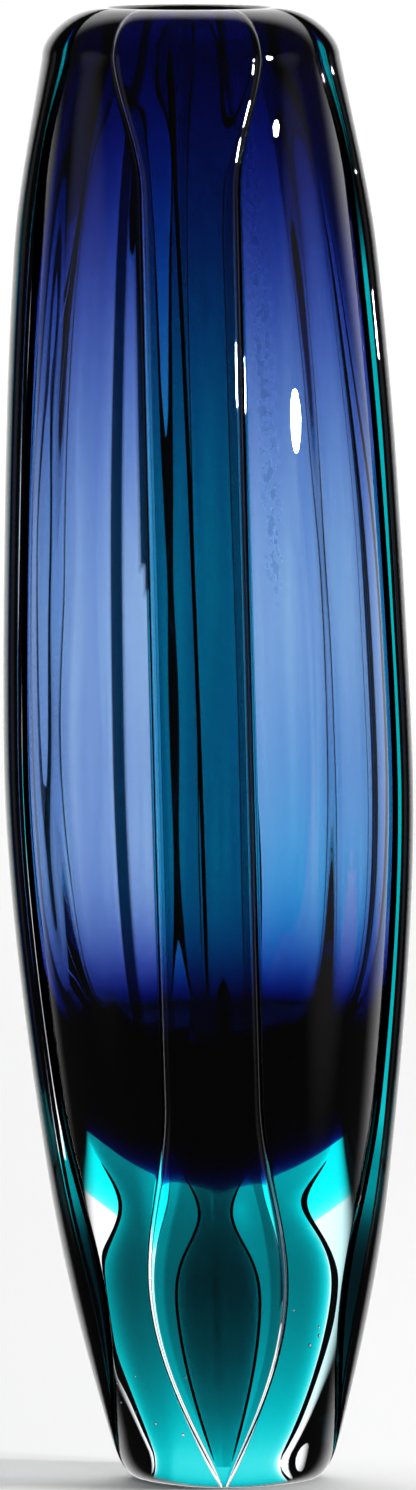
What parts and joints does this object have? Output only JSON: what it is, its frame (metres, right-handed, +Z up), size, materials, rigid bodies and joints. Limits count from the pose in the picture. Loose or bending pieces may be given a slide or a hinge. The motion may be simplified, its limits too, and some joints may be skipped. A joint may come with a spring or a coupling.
{
  "type": "vase",
  "caption": "Tall cased glass vase with a thick clear foot, a narrow rounded mouth, a deep cavity and raised vertical ribs that flare into the lip.",
  "frame": {"origin": "centre of the flat foot, on the surface that the vase stands on", "axes": "+Z up out of the mouth, -Y towards the front rib, +X towards the viewer's right"},
  "size_m": [0.0835, 0.0832, 0.3],
  "materials": {
    "violet_glass": "fire-polished transparent violet glass",
    "teal_glass": "transparent teal glass",
    "clear_glass": "fire-polished clear glass with a ground foot",
    "rib_glass": "fire-polished clear glass over a teal bloom"
  },
  "bodies": {
    "root": {"violet_cup": "violet_glass", "teal_cup": "teal_glass", "clear_body": "clear_glass", "front_rib": "rib_glass", "right_rib": "rib_glass", "back_rib": "rib_glass", "left_rib": "rib_glass"}
  },
  "joints": []
}
